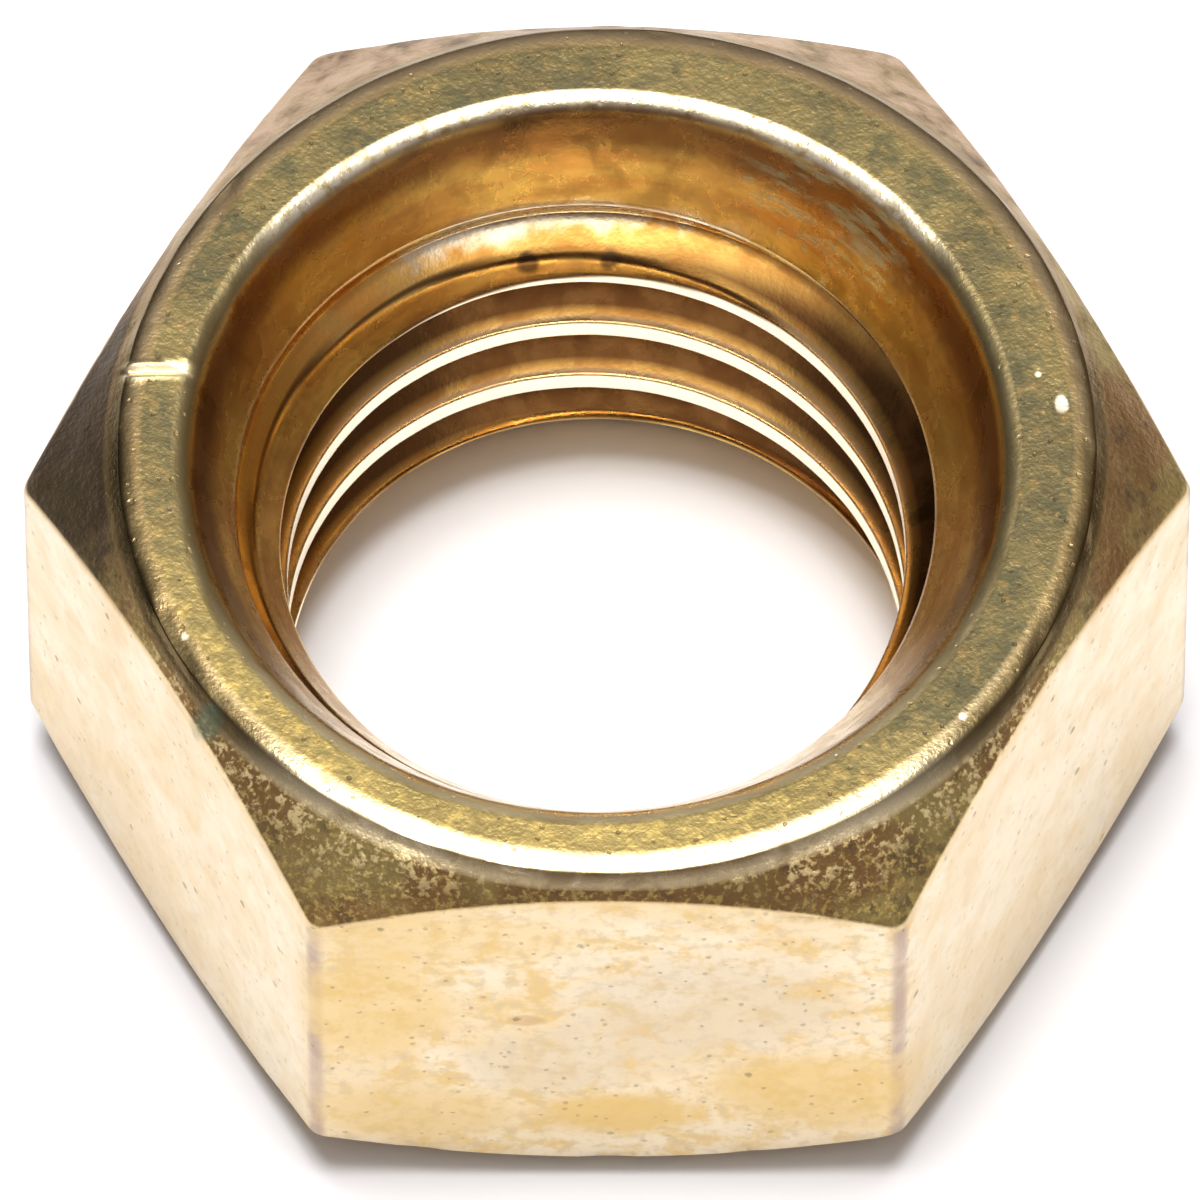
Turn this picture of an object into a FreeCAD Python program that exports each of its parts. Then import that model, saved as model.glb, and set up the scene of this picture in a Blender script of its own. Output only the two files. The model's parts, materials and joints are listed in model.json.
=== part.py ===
import FreeCAD, Part
import Sketcher
import math
import os

# A hexagon nut, modelled as the one solid piece of brass that it is: hexagon bar, turned on
# both faces, drilled, countersunk and tapped with a right-hand M12 x 1.75 thread.
# Frame: millimetres, +Z up. The origin is the centre of the hexagon on the lower face,
# the corners of the hexagon lie on the X axis, and two flats face -Y and +Y.

NODE = "hex_nut"
SHEET = "dimensions"
SIDES = 6
TOLERANCE = 1e-6  # mm, for telling edges apart

DIMENSIONS = [
    # alias, value (mm, or degrees where the name says angle), what it is
    ("across_flats", 17.0, "hexagon width between opposite flats"),
    ("nut_height", 9.8, "lower face to upper face"),
    ("corner_rounding", 0.35, "radius along the six upright corners"),
    ("washer_face_diameter", 16.2, "raised round face on top"),
    ("washer_face_height", 0.25, "step from the chamfer cone up to that face"),
    ("lower_face_diameter", 14.9, "round face left underneath by the lower chamfer"),
    ("upper_chamfer_angle", 35.0, "slope of the upper corner chamfer from the face"),
    ("lower_chamfer_angle", 30.0, "slope of the lower corner chamfer from the face"),
    ("pilot_diameter", 10.0, "first drilling, which the crest size then opens out"),
    ("minor_diameter", 10.37, "thread crests, the finished bore"),
    ("root_diameter", 12.1, "thread roots, a little past the 12 mm nominal size"),
    ("thread_pitch", 1.75, "axial advance in one turn"),
    ("crest_flat", 0.4375, "width of the flat left on each crest, a quarter of the pitch"),
    ("flank_angle", 30.0, "thread flank from the plane across the axis"),
    ("countersink_angle", 60.0, "full angle of both countersinks"),
    ("upper_mouth_diameter", 13.76, "upper countersink at the upper face"),
    ("lower_mouth_diameter", 12.8, "lower countersink at the lower face"),
    ("bore_shift_x", -0.18, "bore axis from the hexagon axis, along X"),
    ("bore_shift_y", -0.15, "bore axis from the hexagon axis, along Y"),
    ("groove_start_height", -1.47, "middle of the thread groove at the start of the tap's path"),
    ("groove_turns", 6.25, "turns of the tap's path, which starts and ends in clear air"),
    ("rim_rounding", 0.2, "radius of the washer-face rim"),
    ("mouth_rounding", 0.2, "radius of the two bore mouths"),
    ("chamfer_rounding", 0.1, "radius of the edges where the chamfers meet the flats"),
    ("bore_sectors", 6, "equal sectors that the crest wall is cut in"),
    ("cut_margin", 1.0, "how far a turned cut reaches past the metal"),
    ("crest_overlap", 0.15, "how far the groove profile reaches inside the crests"),
]


def add_sheet(doc):
    """Put every driving dimension in a spreadsheet cell with an alias."""
    sheet = doc.addObject("Spreadsheet::Sheet", SHEET)
    for row, (alias, value, meaning) in enumerate(DIMENSIONS, start=1):
        sheet.set(f"A{row}", alias)
        sheet.set(f"B{row}", str(value))
        sheet.set(f"C{row}", meaning)
        sheet.setAlias(f"B{row}", alias)
    doc.recompute()
    return sheet


def origin_plane(body, role):
    """Return the body's own origin plane with this role."""
    return next(item for item in body.Origin.OriginFeatures if item.Role == role)


def add_sketch(body, name, plane_role):
    """Add a sketch that lies flat on one of the body's origin planes."""
    sketch = body.newObject("Sketcher::SketchObject", name)
    sketch.AttachmentSupport = [(origin_plane(body, plane_role), "")]
    sketch.MapMode = "FlatFace"
    return sketch


def add_bore_sketch(body, name):
    """Add an upright sketch whose vertical axis is the bore axis."""
    sketch = add_sketch(body, name, "XZ_Plane")
    sketch.setExpression(".AttachmentOffset.Base.x", f"{SHEET}.bore_shift_x")
    sketch.setExpression(".AttachmentOffset.Base.z", f"-{SHEET}.bore_shift_y")
    return sketch


def evaluate(sketch, expression):
    """Work out an expression on the sheet as a plain number."""
    value = sketch.evalExpression(expression)
    return float(getattr(value, "Value", value))


def pin_corner(sketch, line, direction, axis, label, expression):
    """Hold one coordinate of a line's start point: on the axis if zero, else at a bound distance."""
    origin = -1
    start = 1
    value = evaluate(sketch, expression)
    if value == 0:
        sketch.addConstraint(Sketcher.Constraint("PointOnObject", line, start, axis))
        return
    index = sketch.addConstraint(
        Sketcher.Constraint(direction, origin, start, line, start, value))
    sketch.renameConstraint(index, label)
    sketch.setExpression(f"Constraints.{label}", expression)


def add_outline(sketch, name, corners):
    """Add a closed outline whose corners are (x, y) expressions on the sheet."""
    horizontal_axis = -1
    vertical_axis = -2
    points = [FreeCAD.Vector(evaluate(sketch, x), evaluate(sketch, y), 0) for x, y in corners]
    first = sketch.GeometryCount
    count = len(points)
    for index in range(count):
        sketch.addGeometry(Part.LineSegment(points[index], points[(index + 1) % count]), False)
    for index in range(count):
        following = first + (index + 1) % count
        sketch.addConstraint(Sketcher.Constraint("Coincident", first + index, 2, following, 1))
    for index, (x, y) in enumerate(corners):
        line = first + index
        pin_corner(sketch, line, "DistanceX", vertical_axis, f"{name}_x{index}", x)
        pin_corner(sketch, line, "DistanceY", horizontal_axis, f"{name}_y{index}", y)


def add_hexagon_bar(body):
    """The hexagon bar: a regular hexagon with one corner on +X, padded to the nut's height."""
    sketch = add_sketch(body, "hexagon", "XY_Plane")
    corner_radius = f"{SHEET}.across_flats / 2 / cos(30 deg)"
    radius = evaluate(sketch, corner_radius)
    step = 2 * math.pi / SIDES
    corners = [
        FreeCAD.Vector(radius * math.cos(step * k), radius * math.sin(step * k), 0)
        for k in range(SIDES)]
    for k in range(SIDES):
        sketch.addGeometry(Part.LineSegment(corners[k], corners[(k + 1) % SIDES]), False)
    circle = sketch.addGeometry(
        Part.Circle(FreeCAD.Vector(0, 0, 0), FreeCAD.Vector(0, 0, 1), radius), True)
    for k in range(SIDES):
        sketch.addConstraint(Sketcher.Constraint("Coincident", k, 2, (k + 1) % SIDES, 1))
        sketch.addConstraint(Sketcher.Constraint("PointOnObject", k, 1, circle))
    for k in range(1, SIDES):
        sketch.addConstraint(Sketcher.Constraint("Equal", 0, k))
    sketch.addConstraint(Sketcher.Constraint("Coincident", circle, 3, -1, 1))
    sketch.addConstraint(Sketcher.Constraint("PointOnObject", 0, 1, -1))
    index = sketch.addConstraint(Sketcher.Constraint("Radius", circle, radius))
    sketch.renameConstraint(index, "corner_radius")
    sketch.setExpression("Constraints.corner_radius", corner_radius)

    bar = body.newObject("PartDesign::Pad", "hexagon_bar")
    bar.Profile = sketch
    bar.setExpression("Length", f"{SHEET}.nut_height")
    return bar


def add_rounding(body, name, base, wanted, dimension):
    """Round the edges of a feature that a test picks out."""
    names = [f"Edge{i}" for i, edge in enumerate(base.Shape.Edges, start=1) if wanted(edge)]
    rounding = body.newObject("PartDesign::Fillet", name)
    rounding.Base = (base, names)
    rounding.Refine = False
    rounding.setExpression("Radius", f"{SHEET}.{dimension}")
    return rounding


def is_upright(edge):
    """Tell whether an edge runs along Z."""
    start = edge.Vertexes[0].Point
    end = edge.Vertexes[-1].Point
    return math.hypot(end.x - start.x, end.y - start.y) < TOLERANCE < abs(end.z - start.z)


def is_chamfer_edge(edge):
    """Tell whether an edge is where a chamfer cone meets a flat or a rounded corner."""
    return not isinstance(edge.Curve, (Part.Line, Part.Circle))


def rim_test(rims):
    """Make a test for the circular edges with one of these (radius, height) pairs."""
    def is_rim(edge):
        if not isinstance(edge.Curve, Part.Circle):
            return False
        radius = edge.Curve.Radius
        height = edge.Curve.Center.z
        return any(abs(radius - r) < TOLERANCE and abs(height - z) < TOLERANCE for r, z in rims)
    return is_rim


def add_outer_turning(body):
    """Turn the outside: a washer face and a chamfer cone on top, a plain chamfer underneath."""
    sketch = add_sketch(body, "outer_cuts", "XZ_Plane")
    top = f"{SHEET}.nut_height"
    face = f"{SHEET}.washer_face_diameter / 2"
    step = f"{top} - {SHEET}.washer_face_height"
    lower_face = f"{SHEET}.lower_face_diameter / 2"
    rim = f"{SHEET}.across_flats / 2 / cos(30 deg) + {SHEET}.cut_margin"
    slope = f"tan({SHEET}.upper_chamfer_angle * 1 deg)"
    lower_slope = f"tan({SHEET}.lower_chamfer_angle * 1 deg)"
    above = f"{top} + {SHEET}.cut_margin"
    below = f"-{SHEET}.cut_margin"
    add_outline(sketch, "upper", [
        (face, above),
        (face, step),
        (rim, f"{step} - ({rim} - {face}) * {slope}"),
        (rim, above)])
    add_outline(sketch, "lower", [
        (f"{lower_face} - {SHEET}.cut_margin / {lower_slope}", below),
        (rim, f"({rim} - {lower_face}) * {lower_slope}"),
        (rim, below)])

    turning = body.newObject("PartDesign::Groove", "outer_turning")
    turning.Profile = sketch
    turning.ReferenceAxis = (sketch, ["V_Axis"])
    turning.Angle = 360
    return turning


def add_bore(body):
    """Drill the pilot hole and countersink both ends, about the bore axis."""
    sketch = add_bore_sketch(body, "bore_cut")
    top = f"{SHEET}.nut_height"
    pilot = f"{SHEET}.pilot_diameter / 2"
    upper = f"{SHEET}.upper_mouth_diameter / 2"
    lower = f"{SHEET}.lower_mouth_diameter / 2"
    slope = f"tan({SHEET}.countersink_angle * 1 deg / 2)"
    add_outline(sketch, "bore", [
        ("0", "0"),
        (lower, "0"),
        (pilot, f"({lower} - {pilot}) / {slope}"),
        (pilot, f"{top} - ({upper} - {pilot}) / {slope}"),
        (upper, top),
        ("0", top)])

    bore = body.newObject("PartDesign::Groove", "bore")
    bore.Profile = sketch
    bore.ReferenceAxis = (sketch, ["V_Axis"])
    bore.Angle = 360
    return bore


def add_crest_wall(body):
    """Open the bore to the crest size in equal sectors, so that each piece of wall is short."""
    sketch = add_bore_sketch(body, "crest_cut")
    top = f"{SHEET}.nut_height"
    crest = f"{SHEET}.minor_diameter / 2"
    add_outline(sketch, "crest", [("0", "0"), (crest, "0"), (crest, top), ("0", top)])

    sector = body.newObject("PartDesign::Groove", "crest_sector")
    sector.Profile = sketch
    sector.ReferenceAxis = (sketch, ["V_Axis"])
    sector.setExpression("Angle", f"360 deg / {SHEET}.bore_sectors")
    sector.Refine = False

    wall = body.newObject("PartDesign::PolarPattern", "crest_wall")
    wall.Originals = [sector]
    wall.Axis = (sketch, ["V_Axis"])
    wall.Angle = 360
    wall.setExpression("Occurrences", f"{SHEET}.bore_sectors")
    wall.Refine = False
    body.Tip = wall
    return wall


def add_thread(body):
    """Cut the right-hand 60 degree groove, with its flat crests and roots, along the bore axis."""
    sketch = add_bore_sketch(body, "groove_profile")
    crest = f"{SHEET}.minor_diameter / 2"
    root = f"{SHEET}.root_diameter / 2"
    inner = f"{crest} - {SHEET}.crest_overlap"
    middle = f"{SHEET}.groove_start_height"
    slope = f"tan({SHEET}.flank_angle * 1 deg)"
    crest_half = f"({SHEET}.thread_pitch - {SHEET}.crest_flat) / 2"
    inner_half = f"({crest_half} + ({crest} - ({inner})) * {slope})"
    root_half = f"({crest_half} - ({root} - {crest}) * {slope})"
    add_outline(sketch, "groove", [
        (inner, f"{middle} - {inner_half}"),
        (root, f"{middle} - {root_half}"),
        (root, f"{middle} + {root_half}"),
        (inner, f"{middle} + {inner_half}")])

    thread = body.newObject("PartDesign::SubtractiveHelix", "thread")
    thread.Profile = sketch
    thread.ReferenceAxis = (sketch, ["V_Axis"])
    thread.Mode = "pitch-turns-angle"
    thread.setExpression("Pitch", f"{SHEET}.thread_pitch")
    thread.setExpression("Turns", f"{SHEET}.groove_turns")
    thread.LeftHanded = False
    thread.Reversed = False
    thread.HasBeenEdited = True
    thread.Refine = False
    return thread


def build_hex_nut(doc, sheet):
    """Make the nut's body in the order it is machined, checking that each cut removes metal."""
    body = doc.addObject("PartDesign::Body", NODE)
    body.Label = NODE
    body.Placement = FreeCAD.Placement()
    rim = (sheet.washer_face_diameter / 2, sheet.nut_height)
    mouths = [
        (sheet.upper_mouth_diameter / 2, sheet.nut_height),
        (sheet.lower_mouth_diameter / 2, 0.0)]

    volumes = []

    def finished(feature):
        doc.recompute()
        volumes.append(feature.Shape.Volume)
        return feature

    bar = finished(add_hexagon_bar(body))
    finished(add_rounding(body, "worn_corners", bar, is_upright, "corner_rounding"))
    turning = finished(add_outer_turning(body))
    chamfers = finished(
        add_rounding(body, "worn_chamfers", turning, is_chamfer_edge, "chamfer_rounding"))
    finished(add_rounding(body, "worn_rim", chamfers, rim_test([rim]), "rim_rounding"))
    bore = finished(add_bore(body))
    finished(add_rounding(body, "worn_mouths", bore, rim_test(mouths), "mouth_rounding"))
    finished(add_crest_wall(body))
    thread = finished(add_thread(body))

    body.Tip = thread
    doc.recompute()
    print("volume after each step (mm3):", [round(volume, 2) for volume in volumes])
    if any(after >= before for before, after in zip(volumes, volumes[1:])):
        raise RuntimeError("a step removed no metal")
    return body


def check_document(doc):
    """Stop if any object of the document failed to build."""
    for item in doc.Objects:
        if "Invalid" in item.State or "Error" in item.State:
            raise RuntimeError(f"{item.Name} is not right: {item.State}")


def export_node(body):
    """Check one sub-part's shape and write it as a STEP file named after its node."""
    shape = body.Shape
    if shape.isNull() or not shape.isValid() or len(shape.Solids) != 1:
        raise RuntimeError(f"{body.Label} has no single valid solid")
    shape.exportStep(os.path.join("parts", f"{body.Label}.step"))
    box = shape.BoundBox
    print(body.Label, "volume", round(shape.Volume, 2), "mm3, box",
          [round(v, 3) for v in (box.XMin, box.YMin, box.ZMin, box.XMax, box.YMax, box.ZMax)])


def main():
    os.makedirs("parts", exist_ok=True)
    doc = FreeCAD.newDocument("hex_nut_design")
    sheet = add_sheet(doc)
    body = build_hex_nut(doc, sheet)
    check_document(doc)
    export_node(body)


main()
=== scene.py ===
import json
import math

import bpy
import numpy as np
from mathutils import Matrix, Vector


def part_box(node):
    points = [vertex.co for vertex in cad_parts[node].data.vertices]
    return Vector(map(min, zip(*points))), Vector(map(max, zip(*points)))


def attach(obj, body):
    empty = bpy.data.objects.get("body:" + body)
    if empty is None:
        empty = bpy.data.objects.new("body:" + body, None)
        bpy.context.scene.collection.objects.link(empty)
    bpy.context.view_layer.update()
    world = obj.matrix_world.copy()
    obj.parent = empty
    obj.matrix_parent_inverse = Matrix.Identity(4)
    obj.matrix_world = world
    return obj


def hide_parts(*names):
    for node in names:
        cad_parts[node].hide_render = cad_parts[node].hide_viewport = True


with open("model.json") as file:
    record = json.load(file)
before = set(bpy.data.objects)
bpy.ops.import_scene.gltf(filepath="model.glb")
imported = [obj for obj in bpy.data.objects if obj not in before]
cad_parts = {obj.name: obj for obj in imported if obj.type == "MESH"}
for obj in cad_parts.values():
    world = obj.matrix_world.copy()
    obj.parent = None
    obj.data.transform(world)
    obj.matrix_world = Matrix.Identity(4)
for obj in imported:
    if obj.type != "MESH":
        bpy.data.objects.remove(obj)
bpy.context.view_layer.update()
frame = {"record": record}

# Lengths below are millimetres unless a name says otherwise. Blender works in metres.
MM = 0.001
MOUNTS = {mount["name"]: mount for mount in frame["record"]["mounts"]}
LOW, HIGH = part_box("hex_nut")

# From the frame: the nut's height, half its width across flats, and the bore.
HEIGHT = (HIGH[2] - LOW[2]) / MM
HALF_FLATS = -MOUNTS["flat_front"]["pos_m"][1] / MM
BORE_X = MOUNTS["thread"]["pos_m"][0] / MM
BORE_Y = MOUNTS["thread"]["pos_m"][1] / MM
CREST_RADIUS = MOUNTS["thread"]["dims"]["r_mm"]

# The thread: crest to root, advance in one turn, and the height of a crest over +X.
ROOT_DEPTH = 0.865
PITCH = 1.75
CREST_HEIGHT = 4.656

# Both countersinks, as radius over height, and their radii at the faces.
SINK_SLOPE = math.tan(math.radians(30))
UPPER_MOUTH = 6.88
LOWER_MOUTH = 6.4

# The outside. The chamfer cone starts a step below the upper face, but wear has left only
# part of that step standing.
UPPER_SLOPE = math.tan(math.radians(35))
LOWER_SLOPE = math.tan(math.radians(30))
WASHER_RADIUS = 8.1
WASHER_STEP = 0.25
WORN_STEP = 0.14
LOWER_FACE_RADIUS = 7.45
CORNER_ROUNDING = 0.35
SIXTH = math.pi / 3
CORNER_RADIUS = HALF_FLATS / math.cos(SIXTH / 2)


# ---------------------------------------------------------------- noise

# Random numbers are 32-bit words. The factors are large and odd, and scatter neighbouring
# cells and seeds over the whole word; the shifts stir its high half into its low half.
WORD = 2**32
SEED_FACTOR = 2654435761
AXIS_FACTORS = (73856093, 19349663, 83492791)
STIR_FACTOR = 0x45D9F3B
STIR_SHIFTS = (16, 13, 16)


def lattice(cells, seed):
    """A repeatable random number from 0 to 1 for each whole-number cell."""
    mask = np.uint64(WORD - 1)
    key = np.full(len(cells), seed * SEED_FACTOR % WORD, np.uint64)
    for axis, factor in enumerate(AXIS_FACTORS):
        key ^= (cells[:, axis].astype(np.uint64) * np.uint64(factor)) & mask
    for shift in STIR_SHIFTS:
        key ^= key >> np.uint64(shift)
        key = (key * np.uint64(STIR_FACTOR)) & mask
    return key.astype(float) / WORD


def value_noise(points, size, seed):
    """Smooth noise from -1 to 1 with features about as large as size."""
    away_from_zero = 512.0
    scaled = points / size + away_from_zero
    base = np.floor(scaled).astype(np.int64)
    part = scaled - base
    part = part * part * (3 - 2 * part)
    total = np.zeros(len(points))
    for corner in range(8):
        step = np.array([corner & 1, corner >> 1 & 1, corner >> 2 & 1])
        weight = np.prod(np.where(step == 1, part, 1 - part), axis=1)
        total += weight * lattice(base + step, seed)
    return total * 2 - 1


def smooth_step(value, low, high):
    """0 at low, 1 at high, and a smooth rise between. High may be the smaller of the two."""
    x = np.clip((value - low) / (high - low), 0, 1)
    return x * x * (3 - 2 * x)


# ---------------------------------------------------------------- shape of the nut

# The gouge across the left of the upper face: its angle from +X in degrees, its line and its
# two ends, how far it fades past an end and before it, its depth and half width, and the
# same of the ridges that it pushed up, with their distance from its line.
GOUGE_ANGLE = 168.8
GOUGE_Y = 1.47
GOUGE_INNER_X = -6.9
GOUGE_OUTER_X = -8.05
GOUGE_FADE_PAST = 0.12
GOUGE_FADE_BEFORE = 0.1
GOUGE_DEPTH = 0.075
GOUGE_HALF_WIDTH = 0.06
RIDGE_HEIGHT = 0.022
RIDGE_HALF_WIDTH = 0.04
RIDGE_OFFSET = 0.13

# The columns of the mesh. Degrees from a corner of the hexagon for the close ones, how many
# more there are up to the middle of a flat, then how many cross the gouge, how far from it
# they reach, and how far one of them must be from every other column to be kept.
CLOSE_COLUMNS = [0.0, 0.3, 0.6, 0.9, 1.2]
EVEN_COLUMNS = 27
GOUGE_COLUMNS = 13
GOUGE_REACH = 1.6
LEAST_GAP = 0.08


def column_angles():
    """Angles round the axis, closer together at the six corners and at the gouge."""
    near = np.radians(CLOSE_COLUMNS)
    far = np.linspace(near[-1], SIXTH / 2, EVEN_COLUMNS + 1)[1:]
    half = np.concatenate([near, far])
    sector = np.concatenate([-half[1:][::-1], half])[:-1]
    everywhere = np.concatenate([sector + SIXTH * k for k in range(6)])
    start = everywhere[0]
    extra = np.radians(GOUGE_ANGLE + np.linspace(-GOUGE_REACH, GOUGE_REACH, GOUGE_COLUMNS))
    extra = (extra - start) % (2 * math.pi) + start
    gaps = np.abs(extra[:, None] - everywhere[None, :]).min(axis=1)
    return np.sort(np.concatenate([everywhere, extra[gaps > np.radians(LEAST_GAP)]]))


def angle_from_corner(angles):
    """How far each direction is from the nearest corner of the hexagon."""
    return np.abs((angles + SIXTH / 2) % SIXTH - SIXTH / 2)


def hexagon_radius(angles):
    """Distance from the axis to the rounded hexagon in each direction."""
    from_corner = angle_from_corner(angles)
    flat = HALF_FLATS / np.cos(SIXTH / 2 - from_corner)
    centre = (HALF_FLATS - CORNER_ROUNDING) / math.cos(SIXTH / 2)
    inside = np.maximum(CORNER_ROUNDING**2 - (centre * np.sin(from_corner))**2, 0)
    arc = centre * np.cos(from_corner) + np.sqrt(inside)
    tangent = math.atan2(CORNER_ROUNDING * math.sin(SIXTH / 2),
                         centre + CORNER_ROUNDING * math.cos(SIXTH / 2))
    return np.where(from_corner < tangent, arc, flat)


def ring(angles, radius, height, x=0.0, y=0.0):
    """Points at one radius and height in every direction from an upright axis."""
    radius = np.broadcast_to(radius, angles.shape)
    height = np.broadcast_to(height, angles.shape)
    return np.stack([x + radius * np.cos(angles), y + radius * np.sin(angles), height], axis=1)


def shortened(step, length):
    """A step in the same direction with this length, or a little under half of it if that is less."""
    greatest_share = 0.46
    full = np.linalg.norm(step, axis=1, keepdims=True)
    return step * np.minimum(length / full, greatest_share)


def rounded_rows(corners, rounds, spans):
    """Rows of points along a path of rings, with each inner ring rounded.

    rounds: (greatest tangent length, rows) for each inner ring. spans: rows between roundings.
    Returns the rows and, for each row, how near it is to the middle of a rounding and its
    place along the path, which is k on the stretch from ring k to ring k + 1.
    """
    rows = [corners[0]]
    edge = [0.0]
    place = [0.0]

    def add_span(start, end, count, stretch):
        for k in range(1, count + 1):
            rows.append(start + (end - start) * (k / (count + 1)))
            edge.append(0.0)
            place.append(stretch)

    last = corners[0]
    for index, (tangent, count) in enumerate(rounds, start=1):
        before, here, after = corners[index - 1], corners[index], corners[index + 1]
        start = here + shortened(before - here, tangent)
        end = here + shortened(after - here, tangent)
        add_span(last, start, spans[index - 1], index - 1.0)
        for k in range(count):
            u = k / (count - 1)
            rows.append((1 - u)**2 * start + 2 * u * (1 - u) * here + u**2 * end)
            edge.append(4 * u * (1 - u))
            place.append(index - 1.0 + u)
        last = end
    add_span(last, corners[-1], spans[-1], len(corners) - 2.0)
    rows.append(corners[-1])
    edge.append(0.0)
    place.append(len(corners) - 2.0)
    return np.array(rows), np.array(edge), np.array(place)


# The bore's wall lies between these heights; the cones' ends above and below it belong to
# the outside. Each stretch of the surface has a number, its place along the path.
WALL_TOP = HEIGHT - 0.5
WALL_BOTTOM = 0.4
STRETCHES = {"upper_cone": 0, "face": 1, "rim": 2, "chamfer": 3, "flat": 4,
             "lower_chamfer": 5, "lower_face": 6, "lower_cone": 7, "thread": 8}


def outside_rows(angles):
    """Everything but the bore wall: from the top of the bore, over and round, to its bottom."""
    hexagon = hexagon_radius(angles)
    foot = HEIGHT - WASHER_STEP
    corners = [
        ring(angles, UPPER_MOUTH - (HEIGHT - WALL_TOP) * SINK_SLOPE, WALL_TOP, BORE_X, BORE_Y),
        ring(angles, UPPER_MOUTH, HEIGHT, BORE_X, BORE_Y),
        ring(angles, WASHER_RADIUS, HEIGHT),
        ring(angles, WASHER_RADIUS + WORN_STEP, HEIGHT - WORN_STEP),
        ring(angles, hexagon, foot - (hexagon - WASHER_RADIUS) * UPPER_SLOPE),
        ring(angles, hexagon, (hexagon - LOWER_FACE_RADIUS) * LOWER_SLOPE),
        ring(angles, LOWER_FACE_RADIUS, 0.0),
        ring(angles, LOWER_MOUTH, 0.0, BORE_X, BORE_Y),
        ring(angles, LOWER_MOUTH - WALL_BOTTOM * SINK_SLOPE, WALL_BOTTOM, BORE_X, BORE_Y),
    ]
    # From the lip of the upper countersink to that of the lower one.
    rounds = [(0.24, 7), (0.34, 9), (0.25, 4), (0.09, 4), (0.10, 4), (0.10, 4), (0.18, 5)]
    spans = [0, 16, 0, 12, 26, 7, 8, 0]
    return rounded_rows(corners, rounds, spans)


def thread_radius(angles, heights):
    """Radius of the bore wall: the thread, opened out by the countersink at either end.

    Also returns how much each point belongs to a countersink, to a crest and to a groove.
    """
    from_crest = (heights - CREST_HEIGHT - PITCH * angles / (2 * math.pi)) % PITCH
    from_crest = np.minimum(from_crest, PITCH - from_crest)
    flat = PITCH / 8
    # Half of one pitch: distance along the axis from the middle of a crest, and depth there.
    away = np.array([0, flat - 0.03, flat, flat + 0.035, 0.69, 0.72, 0.75, PITCH / 2])
    depth = np.array([0, 0, 0.012, 0.061, 0.816, 0.848, ROOT_DEPTH, ROOT_DEPTH])
    thread = CREST_RADIUS + np.interp(from_crest, away, depth)
    upper = UPPER_MOUTH - (HEIGHT - heights) * SINK_SLOPE
    lower = LOWER_MOUTH - heights * SINK_SLOPE
    cone = np.maximum(upper, lower)
    blend = 0.03
    radius = (thread + cone + np.sqrt((thread - cone)**2 + blend**2)) / 2
    on_cone = smooth_step(cone - thread, -blend, blend)
    on_crest = smooth_step(from_crest, flat + 0.05, flat - 0.02) * (1 - on_cone)
    # The grooves' painted shade leaves out the first groove under the upper countersink, which stays
    # bright.
    below_cone = smooth_step(heights, 7.35, 7.05)
    in_groove = smooth_step(radius - CREST_RADIUS, 0.02, 0.28) * (1 - on_cone) * below_cone
    return radius, on_cone, on_crest, in_groove


def wall_offsets():
    """Heights of the wall's rows within one turn of the thread, measured from a crest."""
    half = [0, 0.08, 0.16, 0.20, 0.24, 0.30, 0.38, 0.46, 0.54, 0.62, 0.69, 0.74, 0.80]
    return np.array(half + [PITCH / 2] + [PITCH - h for h in half[:0:-1]])


def wall_heights(angles):
    """Height of each wall row in each column. The rows climb with the thread, to keep it crisp."""
    turns = int(math.ceil(WALL_TOP / PITCH)) + 3
    first = CREST_HEIGHT - PITCH * (math.ceil(CREST_HEIGHT / PITCH) + 1)
    climb = np.concatenate([first + PITCH * turn + wall_offsets() for turn in range(turns)])
    return climb[:, None] + PITCH * angles[None, :] / (2 * math.pi)


def build_grid():
    """Vertices, faces, each vertex's edge weight and stretch, and the thread's own attributes."""
    angles = column_angles()
    columns = len(angles)
    rows, edge, place = outside_rows(angles)
    count = rows.shape[0]
    index = np.arange(count * columns).reshape(count, columns)
    faces = []
    for r in range(count - 1):
        a, b = index[r], index[r + 1]
        faces.append(np.stack([a, np.roll(a, -1), np.roll(b, -1), b], axis=1)[:, ::-1])
    top_row, bottom_row = index[0], index[-1]

    # Wall rows that would pass an end of the wall fold into the ring of points there.
    heights = wall_heights(angles)
    spread = np.broadcast_to(angles, heights.shape)
    margin = 0.015
    below = heights <= WALL_BOTTOM + margin
    above = heights >= WALL_TOP - margin
    inside = ~below & ~above
    wall_index = np.full(heights.shape, -1)
    wall_index[inside] = index.size + np.arange(inside.sum())
    wall_index = np.where(below, bottom_row[None, :], wall_index)
    wall_index = np.where(above, top_row[None, :], wall_index)
    radius, *wall_shares = thread_radius(spread[inside], heights[inside])
    wall = ring(spread[inside], radius, heights[inside], BORE_X, BORE_Y)

    # The last column joins the first one a turn of the thread further up.
    per_turn = len(wall_offsets())
    for c in range(columns):
        here = wall_index[:-per_turn, c]
        beside = wall_index[:-per_turn, c + 1] if c + 1 < columns else wall_index[per_turn:, 0]
        faces.append(np.stack([here[:-1], beside[:-1], beside[1:], here[1:]], axis=1)[:, ::-1])

    points = np.concatenate([rows.reshape(-1, 3), wall])
    edges = np.concatenate([np.repeat(edge, columns), np.zeros(len(wall))])
    wall_places = np.full(len(wall), float(STRETCHES["thread"]))
    places = np.concatenate([np.repeat(place, columns), wall_places])
    shares = [np.concatenate([np.zeros(count * columns), values]) for values in wall_shares]
    return points, np.concatenate(faces), edges, places, shares


def tidy_faces(quads):
    """Drop faces that folded away and turn those with a doubled corner into triangles."""
    result = []
    for quad in quads.tolist():
        loop = [v for k, v in enumerate(quad) if v != quad[k - 1]]
        if len(set(loop)) == len(loop) and len(loop) > 2:
            result.append(loop)
    return result


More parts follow.
